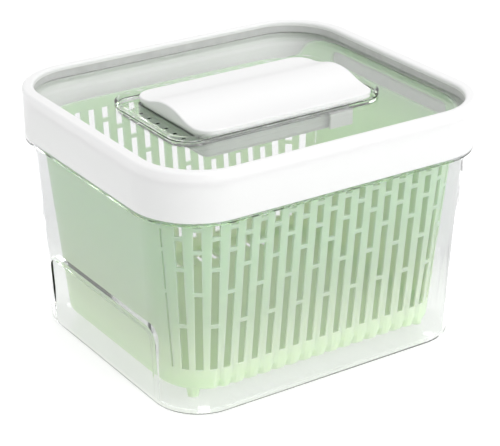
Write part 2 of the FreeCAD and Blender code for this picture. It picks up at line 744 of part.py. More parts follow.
def window_gasket():
    """The grey gasket: a ring that fills the step between the rim and the window."""
    body = new_body("window_gasket")
    ring = sketch_on(body, "gasket_ring", level=window_top)
    rounded_rectangle(ring, *panel_outline(window_top))
    rounded_rectangle(ring, *window_opening())
    pad(body, ring, s.gasket_height)
    return body


def lid_window():
    """The clear window, with an opening that takes the vent tray."""
    body = new_body("lid_window")
    panel = sketch_on(body, "window_panel", level=window_level)
    rounded_rectangle(panel, *panel_outline(window_level))
    pad(body, panel, s.window_thick)
    opening = sketch_on(body, "window_tray_opening", level=window_top)
    rounded_rectangle(opening, *inside(sleeve_outline(), -1 * s.fit_gap))
    pocket(body, opening)
    return body


def collar_outline():
    return s.collar_length, s.collar_width, s.collar_corner


def sleeve_outline():
    return inside(collar_outline(), s.sleeve_step)


def hook_places():
    """Middle of each hook, at the slider's open stop."""
    across = slider_width / 2 - s.hook_inset
    return [(slider_middle + x * s.hook_along, y * across) for x, y in QUARTERS]


def vent_tray():
    """The clear vent tray: a raised collar, a sunk floor with vent slits, and slots for the hooks."""
    body = new_body("vent_tray")
    collar = sketch_on(body, "tray_collar", level=window_top)
    rounded_rectangle(collar, *collar_outline())
    pad(body, collar, s.collar_height)
    sleeve = sketch_on(body, "tray_sleeve", level=tray_underside)
    rounded_rectangle(sleeve, *sleeve_outline())
    pad(body, sleeve, s.tray_depth + s.tray_floor + s.collar_height / 2)
    channel = sketch_on(body, "tray_channel", level=window_top + s.collar_height)
    rounded_rectangle(channel, *inside(collar_outline(), s.collar_wall))
    pocket(body, channel, s.collar_height)
    well = sketch_on(body, "tray_well", level=window_top)
    rounded_rectangle(well, *inside(sleeve_outline(), s.sleeve_wall))
    pocket(body, well, s.tray_depth)
    row = (s.vent_count - 1) * s.vent_pitch
    vent_middle = slider_start - s.vent_from_slider
    slit = sketch_on(body, "tray_vent", level=tray_level, along=vent_middle, across=row / -2)
    rounded_rectangle(slit, s.vent_length, s.vent_width, s.vent_width * 0.45)
    first = pocket(body, slit, s.tray_floor)
    vents = body.newObject("PartDesign::LinearPattern", "tray_vents")
    vents.Originals = [first]
    vents.Direction = (slit, ["V_Axis"])
    bind(vents, "Length", row)
    bind(vents, "Occurrences", s.vent_count)
    body.Tip = vents
    doc.recompute()
    for number, (x, y) in enumerate(hook_places(), 1):
        slot = sketch_on(
            body, f"tray_hook_slot_{number}", level=tray_level, along=x - s.vent_travel / 2, across=y
        )
        rectangle(slot, s.hook_length + s.vent_travel + 2 * s.run_gap, s.hook_thick + 2 * s.run_gap)
        pocket(body, slot, s.tray_floor)
    upper = level_edges(body.Tip, window_top + s.collar_height)
    fillet(body, body.Tip, upper, s.collar_wall * 0.3)
    return body


def slider_profile(sketch):
    """The slider's section, seen along X: thin edges and a ridge between them, in tangent arcs."""
    half = slider_width.value / 2
    seat = (window_top + s.seat_gap).value
    edge = (window_top + s.slider_edge).value
    rise = s.slider_crown.value
    run = s.crown_run.value
    bend = (run * run + rise * rise) / (4 * rise)
    sweep = 2 * math.atan2(rise, run)
    up = Vector(0, 0, 1)

    def arc(y, z, start, turn):
        return Part.ArcOfCircle(Part.Circle(Vector(y, z, 0), up, bend), start, start + turn)

    quarter = math.pi / 2
    points = [Vector(y, z, 0) for y, z in ((-half, edge), (-half, seat), (half, seat), (half, edge))]
    for start, end in zip(points, points[1:]):
        sketch.addGeometry(Part.LineSegment(start, end))
    sketch.addGeometry(Part.LineSegment(points[3], Vector(run, edge, 0)))
    sketch.addGeometry(arc(run, edge + bend, -quarter - sweep, sweep))
    sketch.addGeometry(arc(0, edge + rise - bend, quarter - sweep, 2 * sweep))
    sketch.addGeometry(arc(-run, edge + bend, -quarter, sweep))
    sketch.addGeometry(Part.LineSegment(Vector(-run, edge, 0), points[0]))
    left, bottom, right, right_flat, right_hollow, ridge, left_hollow, left_flat = range(8)
    constrain(sketch, "Coincident", left, 2, bottom, 1)
    constrain(sketch, "Coincident", bottom, 2, right, 1)
    constrain(sketch, "Coincident", right, 2, right_flat, 1)
    constrain(sketch, "Tangent", right_flat, 2, right_hollow, 2)
    constrain(sketch, "Tangent", right_hollow, 1, ridge, 1)
    constrain(sketch, "Tangent", ridge, 2, left_hollow, 2)
    constrain(sketch, "Tangent", left_hollow, 1, left_flat, 1)
    constrain(sketch, "Coincident", left_flat, 2, left, 1)
    for line in (right_flat, left_flat):
        constrain(sketch, "Horizontal", line)
    for line in (left, right):
        constrain(sketch, "Vertical", line)
    constrain(sketch, "Equal", right_hollow, ridge)
    constrain(sketch, "Equal", left_hollow, ridge)
    constrain(sketch, "PointOnObject", ridge, 3, -2)
    constrain(sketch, "Symmetric", bottom, 1, bottom, 2, -2)
    dimension(sketch, "DistanceX", (bottom, 1, bottom, 2), slider_width, "width")
    dimension(sketch, "DistanceY", (-1, 1, bottom, 1), window_top + s.seat_gap, "seat")
    dimension(sketch, "DistanceY", (-1, 1, right_flat, 1), window_top + s.slider_edge, "edge")
    dimension(sketch, "DistanceX", (-1, 1, right_flat, 2), s.crown_run, "run")
    turn = window_top + s.slider_edge + s.slider_crown / 2
    dimension(sketch, "DistanceY", (-1, 1, right_hollow, 1), turn, "turn")


def vent_slider():
    """The white vent slider: a ridged cap, a plug that covers the slits, and hooks under the floor."""
    body = new_body("vent_slider")
    section = sketch_on(body, "slider_section", level=slider_start, role="YZ_Plane")
    slider_profile(section)
    cap = pad(body, section, slider_length)
    half = slider_width.value / 2

    def corner_edge(edge):
        box = edge.BoundBox
        upright = box.XLength < 1e-6 and box.YLength < 1e-6
        return upright and abs(abs(box.YMin) - half) < 1e-4

    rounded = fillet(body, cap, edges_where(cap, corner_edge), s.slider_corner)
    seat_edge = (window_top + s.slider_edge / 2).value
    upper = edges_where(rounded, lambda edge: is_slider_brim(edge, seat_edge, half))
    fillet(body, rounded, upper, s.slider_round)
    plug_inset = s.collar_wall + s.sleeve_wall
    plug = sketch_on(body, "slider_plug", level=tray_level + s.seat_gap, along=slider_middle)
    plug_length = slider_length - 2 * s.sleeve_wall
    plug_width = slider_width - 2 * plug_inset + 2 * s.sleeve_step
    plug_outline = (plug_length, plug_width, s.slider_corner - s.sleeve_wall)
    rounded_rectangle(plug, *plug_outline)
    pad(body, plug, s.tray_depth + s.slider_edge / 2)
    hollow = sketch_on(body, "slider_hollow", level=tray_level, along=slider_middle)
    rounded_rectangle(hollow, *inside(plug_outline, s.slider_skin))
    pocket(body, hollow, s.tray_depth + s.slider_edge - s.slider_skin, backwards=True)
    catch_top = tray_underside - s.run_gap
    leg_height = window_top + s.slider_edge - s.slider_skin / 2 - catch_top
    for number, (x, y) in enumerate(hook_places(), 1):
        leg = sketch_on(body, f"slider_leg_{number}", level=catch_top, along=x, across=y)
        rectangle(leg, s.hook_length, s.hook_thick)
        pad(body, leg, leg_height)
        inwards = -1 if y.value > 0 else 1
        catch = sketch_on(
            body,
            f"slider_catch_{number}",
            level=catch_top,
            along=x,
            across=y + inwards * s.hook_catch / 2,
        )
        rectangle(catch, s.hook_length, s.hook_thick + s.hook_catch)
        pad(body, catch, s.hook_catch, backwards=True)
    return body


def is_slider_brim(edge, lowest, half):
    """True for the edges round the slider's upper face, which all lie above half its edge height."""
    box = edge.BoundBox
    at_side = abs(abs(box.YMin) - half) < 1e-4 and box.YLength < 1e-6
    at_end = box.XLength < 1e-6
    at_corner = edge.Curve.TypeId == "Part::GeomCircle" and box.ZLength < 1e-6
    return box.ZMin > lowest and (at_side or at_end or at_corner)


def cage_outline(wall):
    """The filter cage's outline, moved inwards by a wall."""
    return inside((s.cage_length, cage_width, s.cage_corner), wall)


def hinge_sketch(body, name, x):
    """A sketch across the hinge, with the pin's axis as its middle."""
    return sketch_on(body, name, level=x, role="YZ_Plane", along=hinge_across, across=hinge_level)


def cage_knuckle_starts():
    """Where the cage's two knuckles begin along X: at the ends of the flat of its back wall."""
    flat = s.cage_length / 2 - s.cage_corner
    return [s.cage_middle - flat, s.cage_middle + flat - s.knuckle_length]


def door_knuckle_starts():
    """Where the door's two knuckles begin along X: beside the cage's, towards the middle."""
    near, far = cage_knuckle_starts()
    step = s.knuckle_length + s.run_gap
    return [near + step, far - step]


def filter_cage():
    """The cage under the vent tray: four walls, with lugs behind that carry the hinge pin."""
    body = new_body("filter_cage")
    walls = sketch_on(body, "cage_walls", level=cage_level, along=s.cage_middle)
    rounded_rectangle(walls, *cage_outline(as_size(0)))
    rounded_rectangle(walls, *cage_outline(s.cage_wall))
    pad(body, walls, s.cage_depth)
    arm_low = s.knuckle_radius + 2 * s.run_gap
    arm_high = cage_level + s.cage_depth - hinge_level
    for number, start in enumerate(cage_knuckle_starts(), 1):
        eye = hinge_sketch(body, f"cage_eye_{number}", start)
        circle(eye, s.knuckle_radius)
        pad(body, eye, s.knuckle_length)
        post = sketch_on(
            body,
            f"cage_post_{number}",
            level=start,
            role="YZ_Plane",
            along=hinge_across,
            across=hinge_level + arm_high / 2,
        )
        rectangle(post, 2 * s.knuckle_radius, arm_high)
        pad(body, post, s.knuckle_length)
        reach = s.knuckle_radius + s.run_gap + s.cage_wall / 2
        arm = sketch_on(
            body,
            f"cage_arm_{number}",
            level=start,
            role="YZ_Plane",
            along=hinge_across - reach / 2,
            across=hinge_level + (arm_low + arm_high) / 2,
        )
        rectangle(arm, reach, arm_high - arm_low)
        pad(body, arm, s.knuckle_length)
    bore = hinge_sketch(body, "cage_bore", 0)
    circle(bore, s.pin_radius)
    pocket(body, bore, both_ways=True)
    return body


def filter_door():
    """The slotted door that closes the cage: a plate with a rim, turning on two knuckles."""
    body = new_body("filter_door")
    plate = sketch_on(body, "door_plate", level=door_level, along=s.cage_middle)
    rounded_rectangle(plate, *cage_outline(as_size(0)))
    pad(body, plate, s.door_thick)
    rim = sketch_on(body, "door_rim", level=door_top - s.door_thick / 2, along=s.cage_middle)
    rim_inset = s.cage_wall + 1.5 * s.run_gap
    rounded_rectangle(rim, *cage_outline(rim_inset))
    rounded_rectangle(rim, *cage_outline(rim_inset + s.door_rim_wall))
    pad(body, rim, s.door_thick / 2 + s.door_rim_height)
    for number, start in enumerate(door_knuckle_starts(), 1):
        eye = hinge_sketch(body, f"door_eye_{number}", start)
        circle(eye, s.knuckle_radius)
        pad(body, eye, s.knuckle_length)
        reach = s.knuckle_radius + s.run_gap + s.cage_wall
        arm = sketch_on(
            body,
            f"door_arm_{number}",
            level=start,
            role="YZ_Plane",
            along=hinge_across - reach / 2,
            across=hinge_level,
        )
        rectangle(arm, reach, s.door_thick)
        pad(body, arm, s.knuckle_length)
    bore = hinge_sketch(body, "door_bore", 0)
    circle(bore, s.pin_radius + s.pin_gap)
    pocket(body, bore, both_ways=True)
    row = (s.door_slot_count - 1) * s.door_slot_pitch
    slot = sketch_on(body, "door_slot", level=door_top, along=s.cage_middle - row / 2)
    rectangle(slot, s.door_slot_width, s.door_slot_length)
    first = pocket(body, slot, s.door_thick)
    slots = body.newObject("PartDesign::LinearPattern", "door_slots")
    slots.Originals = [first]
    slots.Direction = (slot, ["H_Axis"])
    bind(slots, "Length", row)
    bind(slots, "Occurrences", s.door_slot_count)
    body.Tip = slots
    doc.recompute()
    return body


def hinge_pin():
    """The pin through all four knuckles."""
    body = new_body("hinge_pin")
    start = cage_knuckle_starts()[0]
    end = cage_knuckle_starts()[1] + s.knuckle_length
    section = hinge_sketch(body, "pin_section", start)
    circle(section, s.pin_radius)
    pad(body, section, end - start)
    return body


def door_latch():
    """The latch tab: it stands on the door's front edge and closes over the cage's front wall."""
    body = new_body("door_latch")
    sleeve_front = s.collar_width / 2 - s.sleeve_step
    front = -1 * (sleeve_front + s.run_gap + s.latch_thick / 2)
    along = s.cage_middle + s.cage_length / 2 - s.latch_from_end
    tab = sketch_on(body, "latch_tab", level=door_level, along=along, across=front)
    rounded_rectangle(tab, s.latch_length, s.latch_thick, s.latch_thick * 0.45)
    pad(body, tab, window_level - s.latch_top_gap - door_level)
    foot_reach = -1 * front - cage_width / 2 - s.fit_gap
    foot = sketch_on(body, "latch_foot", level=door_level, along=along, across=front + foot_reach / 2)
    rectangle(foot, s.latch_length - 2 * s.latch_thick, foot_reach)
    pad(body, foot, s.door_thick)
    return body


def pouch_outline(sketch, length, width, waist):
    """A cushion's outline: four arcs between the corners, drawn in by the waist."""
    x = length.value / 2
    y = width.value / 2
    draw = waist.value
    corners = [Vector(-x, -y, 0), Vector(x, -y, 0), Vector(x, y, 0), Vector(-x, y, 0)]
    waists = [Vector(0, draw - y, 0), Vector(x - draw, 0, 0), Vector(0, y - draw, 0), Vector(draw - x, 0, 0)]
    for turn in range(4):
        sketch.addGeometry(Part.Arc(corners[turn], waists[turn], corners[(turn + 1) % 4]))


def carbon_filter():
    """The carbon filter: a soft pouch with a crown, lying on the door inside its rim."""
    body = new_body("carbon_filter")
    bottom = door_top + s.run_gap
    length, width, _ = cage_outline(as_size(0))
    pouch_length = length - 2 * s.pouch_end_gap
    pouch_width = width - 2 * s.pouch_side_gap
    sections = []
    shares = ((0.0, 0.88), (0.3, 1.0), (0.5, 1.0), (0.8, 0.94), (1.0, 0.74))
    for number, (rise, share) in enumerate(shares, 1):
        level = bottom + rise * s.pouch_thick
        section = sketch_on(body, f"pouch_section_{number}", level=level, along=s.cage_middle)
        inset = (1 - share) * pouch_width
        pouch_outline(section, pouch_length - inset, pouch_width - inset, s.pouch_waist)
        sections.append(section)
    form = body.newObject("PartDesign::AdditiveLoft", "pouch_form")
    form.Profile = sections[0]
    form.Sections = sections[1:]
    form.Ruled = True
    doc.recompute()
    return body


def check_and_export(pieces):
    doc.recompute()
    for item in doc.Objects:
        if "Invalid" in item.State or "Error" in item.State:
            raise RuntimeError(f"{item.Name} failed: {item.State}")
    for piece in pieces:
        if piece.Shape.isNull() or not piece.Shape.isValid():
            raise RuntimeError(f"{piece.Label} has no valid shape")
    os.makedirs("parts", exist_ok=True)
    for piece in pieces:
        piece.Shape.exportStep(f"parts/{piece.Label}.step")
        box = piece.Shape.BoundBox
        print(
            f"{piece.Label}: {len(piece.Shape.Solids)} solid, {piece.Shape.Volume / 1000:.1f} cm3,"
            f" z {box.ZMin:.1f} to {box.ZMax:.1f}"
        )


check_and_export(
    [
        clear_bin(),
        basket(),
        lid_frame(),
        window_gasket(),
        lid_window(),
        vent_tray(),
        vent_slider(),
        filter_cage(),
        filter_door(),
        hinge_pin(),
        door_latch(),
        carbon_filter(),
    ]
)
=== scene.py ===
# %% [markdown]
# # A produce keeper, dressed for its photograph
# The solids come from the construction model: a clear bin, a green colander basket that stands in
# it, and a lid with a window, a sliding vent and a filter compartment. They are already at their
# real size and place, so this lesson gives them their finishes, makes the one soft piece, and
# lights them.

# %% Load the solids
import math

import bmesh
import bpy
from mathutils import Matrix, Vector


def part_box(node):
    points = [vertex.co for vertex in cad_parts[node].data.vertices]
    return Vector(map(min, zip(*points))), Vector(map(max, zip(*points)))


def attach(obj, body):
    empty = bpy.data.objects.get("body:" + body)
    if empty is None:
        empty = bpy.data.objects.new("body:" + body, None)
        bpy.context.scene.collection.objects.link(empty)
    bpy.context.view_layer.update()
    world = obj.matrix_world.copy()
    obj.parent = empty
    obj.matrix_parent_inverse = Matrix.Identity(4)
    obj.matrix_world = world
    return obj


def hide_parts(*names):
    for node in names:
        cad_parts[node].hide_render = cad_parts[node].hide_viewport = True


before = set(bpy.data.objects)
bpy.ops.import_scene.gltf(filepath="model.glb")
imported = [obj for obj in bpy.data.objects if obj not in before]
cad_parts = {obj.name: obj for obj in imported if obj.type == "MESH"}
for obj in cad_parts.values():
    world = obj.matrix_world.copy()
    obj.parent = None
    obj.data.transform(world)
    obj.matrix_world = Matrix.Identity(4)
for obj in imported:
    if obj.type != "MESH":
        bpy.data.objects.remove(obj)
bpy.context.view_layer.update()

print("solids:", ", ".join(sorted(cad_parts)))

# %% [markdown]
# ## The camera
# A product photograph is taken from far away with a long lens, so that upright edges stay nearly
# parallel. One could turn the camera by eye until it looks right. Here the distance, the angle and
# the lens were worked out from the edges of the object, and the camera is put there directly: it
# sits on a line that leaves the target at an azimuth and an elevation, and looks back along that
# line.

# %% Camera
CAMERA_TARGET = Vector((0.00125, -0.00081, 0.06897))
CAMERA_AZIMUTH = math.radians(-33.58)
CAMERA_ELEVATION = math.radians(24.6)
CAMERA_DISTANCE = 1.14269
CAMERA_LENS = 130.84
CAMERA_SENSOR = 36.0

towards_camera = Vector((
    math.sin(CAMERA_AZIMUTH) * math.cos(CAMERA_ELEVATION),
    -math.cos(CAMERA_AZIMUTH) * math.cos(CAMERA_ELEVATION),
    math.sin(CAMERA_ELEVATION),
))
camera_data = bpy.data.cameras.new("camera")
camera_data.lens = CAMERA_LENS
camera_data.sensor_width = CAMERA_SENSOR
camera = bpy.data.objects.new("camera", camera_data)
camera.location = CAMERA_TARGET + CAMERA_DISTANCE * towards_camera
camera.rotation_euler = towards_camera.to_track_quat("Z", "Y").to_euler()
bpy.context.scene.collection.objects.link(camera)
bpy.context.scene.camera = camera
print("camera at", [round(v, 3) for v in camera.location])

# %% [markdown]
# ## Helpers for the finishes
# Moulded plastic is never one flat value: its gloss changes a little from place to place, and its
# skin is very slightly uneven. Both come from noise in the piece's own space (Object coordinates),
# so the pattern stays on the piece when it moves. One noise drives the roughness, another a shallow
# bump. Blender's noise keeps mostly between 0.3 and 0.7, so that part of it is spread over what is
# wanted.

# %% Finish helpers
NOISE_LOW = 0.3
NOISE_HIGH = 0.7


def neutral(level):
    """A grey or white of this level."""
    return (level, level, level)


def start_finish(name):
    """A new material and its shader."""
    material = bpy.data.materials.new(name)
    material.use_nodes = True
    return material, material.node_tree.nodes["Principled BSDF"]


def skin_noise(material, per_metre, detail=2.0, stretch=(1.0, 1.0, 1.0)):
    """Noise in the piece's own space; gives the socket that carries it, from 0 to 1."""
    nodes = material.node_tree.nodes
    links = material.node_tree.links
    place = nodes.new("ShaderNodeTexCoord")
    turn = nodes.new("ShaderNodeMapping")
    turn.inputs["Scale"].default_value = stretch
    noise = nodes.new("ShaderNodeTexNoise")
    noise.inputs["Scale"].default_value = per_metre
    noise.inputs["Detail"].default_value = detail
    links.new(place.outputs["Object"], turn.inputs["Vector"])
    links.new(turn.outputs["Vector"], noise.inputs["Vector"])
    return noise.outputs["Fac"]


def vary(material, height, target, low, high):
    """Spreads a noise or a blend over a range of values and links it to a socket of the shader."""
    spread = material.node_tree.nodes.new("ShaderNodeMapRange")
    spread.inputs["From Min"].default_value = NOISE_LOW
    spread.inputs["From Max"].default_value = NOISE_HIGH
    spread.inputs["To Min"].default_value = low
    spread.inputs["To Max"].default_value = high
    material.node_tree.links.new(height, spread.inputs["Value"])
    material.node_tree.links.new(spread.outputs["Result"], target)


def vary_colour(material, height, target, at_low, at_high):
    """Blends two colours by a noise or a height, for a colour socket; gives the blend's stops."""
    ramp = material.node_tree.nodes.new("ShaderNodeValToRGB")
    stops = ramp.color_ramp.elements
    stops[0].position = NOISE_LOW
    stops[0].color = (*at_low, 1.0)
    stops[1].position = NOISE_HIGH
    stops[1].color = (*at_high, 1.0)
    material.node_tree.links.new(height, ramp.inputs["Fac"])
    material.node_tree.links.new(ramp.outputs["Color"], target)
    return stops


def raise_skin(material, height, depth, strength=1.0):
    """Turns a noise into a bump of this depth in metres."""
    bump = material.node_tree.nodes.new("ShaderNodeBump")
    bump.inputs["Strength"].default_value = strength
    bump.inputs["Distance"].default_value = depth
    shader = material.node_tree.nodes["Principled BSDF"]
    material.node_tree.links.new(height, bump.inputs["Height"])
    material.node_tree.links.new(bump.outputs["Normal"], shader.inputs["Normal"])


def dress(material, *names):
    """Gives a finish to nodes of the construction model."""
    for name in names:
        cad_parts[name].material_slots[0].material = material
    print(material.name, "on", ", ".join(names))

# %% [markdown]
# ## Clear plastic: bin, window and vent tray
# The bin, the window and the tray are injection-moulded in a water-clear plastic. They are closed
# solids with a real wall, so the shader can be true glass. The full index of acrylic bends light so
# much that every edge turns into a broad black band, because light is caught in the wall. Here the
# inside has a low index, which leaves a thin line where a ledge or a rounding turns away, and a
# coat with the real index gives the skin its gloss. Glass would also stop the lamps' light, and
# leave everything inside the bin dark, so a Transparent shader takes its place for shadow rays.

# %% Clear plastic
ACRYLIC_INDEX = 1.49
CLEAR_SHARE = 0.99


def let_light_through(material, share):
    """Lets this share of the lamps' light pass each face of a glassy material."""
    nodes = material.node_tree.nodes
    links = material.node_tree.links
    open_side = nodes.new("ShaderNodeBsdfTransparent")
    open_side.inputs["Color"].default_value = (*neutral(share), 1.0)
    path = nodes.new("ShaderNodeLightPath")
    choice = nodes.new("ShaderNodeMixShader")
    links.new(path.outputs["Is Shadow Ray"], choice.inputs["Fac"])
    links.new(nodes["Principled BSDF"].outputs["BSDF"], choice.inputs[1])
    links.new(open_side.outputs["BSDF"], choice.inputs[2])
    links.new(choice.outputs["Shader"], nodes["Material Output"].inputs["Surface"])


def clear_plastic(name, tint, bend, gloss):
    """A polished, see-through plastic: its tint, its inner index and the weight of its coat."""
    material, shader = start_finish(name)
    shader.inputs["Base Color"].default_value = (*tint, 1.0)
    shader.inputs["Transmission Weight"].default_value = 1.0
    shader.inputs["IOR"].default_value = bend
    shader.inputs["Coat Weight"].default_value = gloss
    shader.inputs["Coat IOR"].default_value = ACRYLIC_INDEX
    clouds = skin_noise(material, per_metre=60.0)
    vary(material, clouds, shader.inputs["Roughness"], low=0.0, high=0.02)
    coat_clouds = skin_noise(material, per_metre=40.0)
    vary(material, coat_clouds, shader.inputs["Coat Roughness"], low=0.01, high=0.04)
    waves = skin_noise(material, per_metre=25.0, stretch=(1.0, 1.0, 0.4))
    raise_skin(material, waves, depth=0.0002, strength=0.03)
    let_light_through(material, CLEAR_SHARE)
    return material


# %% [markdown]
# The three pieces share that finish, but not its tint. The bin is deep and has a faint grey cast.
# Its tint is a ramp over the height with four stops, lighter at the foot and at the mouth inside
# the
# lid: that is painted light, for the light that comes in from the table at the foot and for a
# brighter inside under the lid. The window is a flat sheet and the tray a small one, so both stay
# brighter.
# The tray bends light a little more than the window, so that its collar and its slits draw a thin
# line.

# %% Clear plastic on the bin, the window and the tray
def height_blend(material, low, high):
    """A socket that goes from 0 to 1 between two heights."""
    nodes = material.node_tree.nodes
    links = material.node_tree.links
    place = nodes.new("ShaderNodeTexCoord")
    parts = nodes.new("ShaderNodeSeparateXYZ")
    rise = nodes.new("ShaderNodeMapRange")
    rise.inputs["From Min"].default_value = low
    rise.inputs["From Max"].default_value = high
    links.new(place.outputs["Object"], parts.inputs["Vector"])
    links.new(parts.outputs["Z"], rise.inputs["Value"])
    return rise.outputs["Result"]


BIN_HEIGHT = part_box("bin")[1].z
# The foot and mouth tints are painted light: lighter at the foot for the light from the table, and
# at the mouth for a brighter inside under the lid.
BIN_FOOT_PAINTED_LIGHT_TINT = (0.92, 0.93, 0.92)
BIN_WALL_TINT = (0.79, 0.795, 0.8)
BIN_MOUTH_PAINTED_LIGHT_TINT = neutral(0.98)
SHEET_TINT = neutral(0.985)
# Where the grey cast and each band of painted light start or end, as a share of the bin's height.
PAINTED_FOOT_LIGHT_ENDS = 0.2
WALL_STARTS = 0.45
WALL_ENDS = 0.9
PAINTED_MOUTH_LIGHT_STARTS = 0.94

bin_plastic = clear_plastic("clear_plastic", BIN_WALL_TINT, bend=1.088, gloss=0.8)
bin_shader = bin_plastic.node_tree.nodes["Principled BSDF"]
# This ramp paints a lighter foot and mouth onto the bin's grey cast.
bin_tint_and_painted_light_stops = vary_colour(
    bin_plastic, height_blend(bin_plastic, low=0.0, high=BIN_HEIGHT),
    bin_shader.inputs["Base Color"], at_low=BIN_FOOT_PAINTED_LIGHT_TINT, at_high=BIN_WALL_TINT
)
bin_tint_and_painted_light_stops[0].position = PAINTED_FOOT_LIGHT_ENDS
bin_tint_and_painted_light_stops[1].position = WALL_STARTS
bin_tint_and_painted_light_stops.new(WALL_ENDS).color = (*BIN_WALL_TINT, 1.0)
bin_tint_and_painted_light_stops.new(PAINTED_MOUTH_LIGHT_STARTS).color = (*BIN_MOUTH_PAINTED_LIGHT_TINT, 1.0)
dress(bin_plastic, "bin")
dress(clear_plastic("clear_sheet", SHEET_TINT, bend=1.055, gloss=1.0), "lid_window")
dress(clear_plastic("clear_tray", SHEET_TINT, bend=1.07, gloss=1.0), "vent_tray")

# %% [markdown]
# ## Green plastic: the colander basket
# The basket is a pale green plastic with a satin skin, thin enough to let light through, which is
# why it glows between its slots. Subsurface scattering gives that glow: some of the light goes in,
# spreads for a few millimetres and comes out again. The colour is blended over the height and is
# warmer at the foot: that is painted light, for the light that the table sends into the foot from
# below. A fine grain breaks up its gloss.

# %% Green plastic
def make_uneven(material, height, per_metre, share):
    """Mixes a share of noise into a blend, so that it doesn't run too straight."""
    links = material.node_tree.links
    uneven = material.node_tree.nodes.new("ShaderNodeMix")
    uneven.inputs["Factor"].default_value = share
    links.new(height, uneven.inputs["A"])
    links.new(skin_noise(material, per_metre), uneven.inputs["B"])
    return uneven.outputs["Result"]


# The foot's colour is painted light: the rim's green made warmer for the light from the table.
FOOT_GREEN_PAINTED_LIGHT = (0.63, 0.775, 0.545)
RIM_GREEN = (0.57, 0.81, 0.54)
RIM_GREEN_HEIGHT = 0.13

green, green_shader = start_finish("green_plastic")
painted_foot_light_blend = height_blend(green, low=0.0, high=RIM_GREEN_HEIGHT)
vary_colour(
    green, make_uneven(green, painted_foot_light_blend, per_metre=18.0, share=0.15),
    green_shader.inputs["Base Color"], at_low=FOOT_GREEN_PAINTED_LIGHT, at_high=RIM_GREEN
)
green_shader.inputs["Subsurface Weight"].default_value = 1.0
green_shader.inputs["Subsurface Radius"].default_value = (1.0, 1.0, 0.8)
green_shader.inputs["Subsurface Scale"].default_value = 0.006
satin = skin_noise(green, per_metre=90.0)
vary(green, satin, green_shader.inputs["Roughness"], low=0.36, high=0.5)
grain = skin_noise(green, per_metre=1500.0, detail=1.0)
raise_skin(green, grain, depth=0.00003, strength=0.4)
dress(green, "basket")

# %% [markdown]
# ## White plastic: lid frame and vent slider
# Both are a bright white plastic with a soft shine. Pure white would leave no room for highlights,
# so the colour stays a little below it. The skirt is thin, and some light comes through it, which
# shows on its inside. The rim and the slider are thicker and let less through, so the subsurface
# weight falls over the last few millimetres below the rim. Without that, the grey gasket would
# shine through it.

# %% White plastic
SKIRT_THIN_BELOW = 0.151
RIM_THICK_ABOVE = 0.157

white, white_shader = start_finish("white_plastic")
vary_colour(
    white, skin_noise(white, per_metre=12.0), white_shader.inputs["Base Color"],
    at_low=neutral(0.955), at_high=neutral(0.965)
)
skirt_to_rim = height_blend(white, low=SKIRT_THIN_BELOW, high=RIM_THICK_ABOVE)
vary(white, skirt_to_rim, white_shader.inputs["Subsurface Weight"], low=0.6, high=0.1)
white_shader.inputs["Subsurface Radius"].default_value = (1.0, 1.0, 1.0)
white_shader.inputs["Subsurface Scale"].default_value = 0.004
shine = skin_noise(white, per_metre=70.0)
vary(white, shine, white_shader.inputs["Roughness"], low=0.3, high=0.42)
white_grain = skin_noise(white, per_metre=1200.0, detail=1.0)
raise_skin(white, white_grain, depth=0.00003, strength=0.3)
dress(white, "lid_frame", "vent_slider")

# %% [markdown]
# ## Grey rubber, frosted plastic, grey plastic and steel
# The gasket is a matt grey rubber. The filter cage and its door are frosted: they pass light but
# blur what is behind them, which is transmission with a rough surface. The latch is a plain light
# grey, and the hinge pin is drawn wire, so its noise is stretched along X into fine lines.

# %% Small finishes
rubber, rubber_shader = start_finish("grey_rubber")
vary_colour(
    rubber, skin_noise(rubber, per_metre=150.0), rubber_shader.inputs["Base Color"],
    at_low=neutral(0.62), at_high=neutral(0.68)
)
rubber_bloom = skin_noise(rubber, per_metre=400.0)
vary(rubber, rubber_bloom, rubber_shader.inputs["Roughness"], low=0.55, high=0.75)
raise_skin(rubber, skin_noise(rubber, per_metre=2500.0), depth=0.00004, strength=0.5)
dress(rubber, "window_gasket")

FROSTED_SHARE = 0.85

frosted, frosted_shader = start_finish("frosted_plastic")
frosted_shader.inputs["Base Color"].default_value = (0.9, 0.93, 0.9, 1.0)
frosted_shader.inputs["Transmission Weight"].default_value = 0.75
frosted_shader.inputs["IOR"].default_value = 1.45
frost = skin_noise(frosted, per_metre=120.0)
vary(frosted, frost, frosted_shader.inputs["Roughness"], low=0.35, high=0.5)
raise_skin(frosted, skin_noise(frosted, per_metre=3000.0), depth=0.00004, strength=0.4)
let_light_through(frosted, FROSTED_SHARE)
dress(frosted, "filter_cage", "filter_door")

grey, grey_shader = start_finish("grey_plastic")
vary_colour(
    grey, skin_noise(grey, per_metre=90.0), grey_shader.inputs["Base Color"],
    at_low=(0.62, 0.63, 0.62), at_high=(0.66, 0.67, 0.66)
)
grey_satin = skin_noise(grey, per_metre=200.0)
vary(grey, grey_satin, grey_shader.inputs["Roughness"], low=0.35, high=0.5)
raise_skin(grey, skin_noise(grey, per_metre=1500.0), depth=0.00003, strength=0.3)
dress(grey, "door_latch")

steel, steel_shader = start_finish("pin_steel")
steel_shader.inputs["Base Color"].default_value = (0.62, 0.62, 0.63, 1.0)
steel_shader.inputs["Metallic"].default_value = 1.0
drawn_lines = skin_noise(steel, per_metre=4000.0, stretch=(0.02, 1.0, 1.0))
vary(steel, drawn_lines, steel_shader.inputs["Roughness"], low=0.25, high=0.45)
raise_skin(steel, drawn_lines, depth=0.00001, strength=0.5)
dress(steel, "hinge_pin")

# %% [markdown]
# ## The filter pouch
# The filter is a flat bag of carbon grains, sealed round its edge. It could be modelled as a
# crowned pad, but that has no creases. So a box with round corners is made first, a little more
# than half as thick as the finished pouch. Then it is remeshed into small even squares and blown up
# as cloth: pressure pushes the faces out, and no point may go further than a set rise.

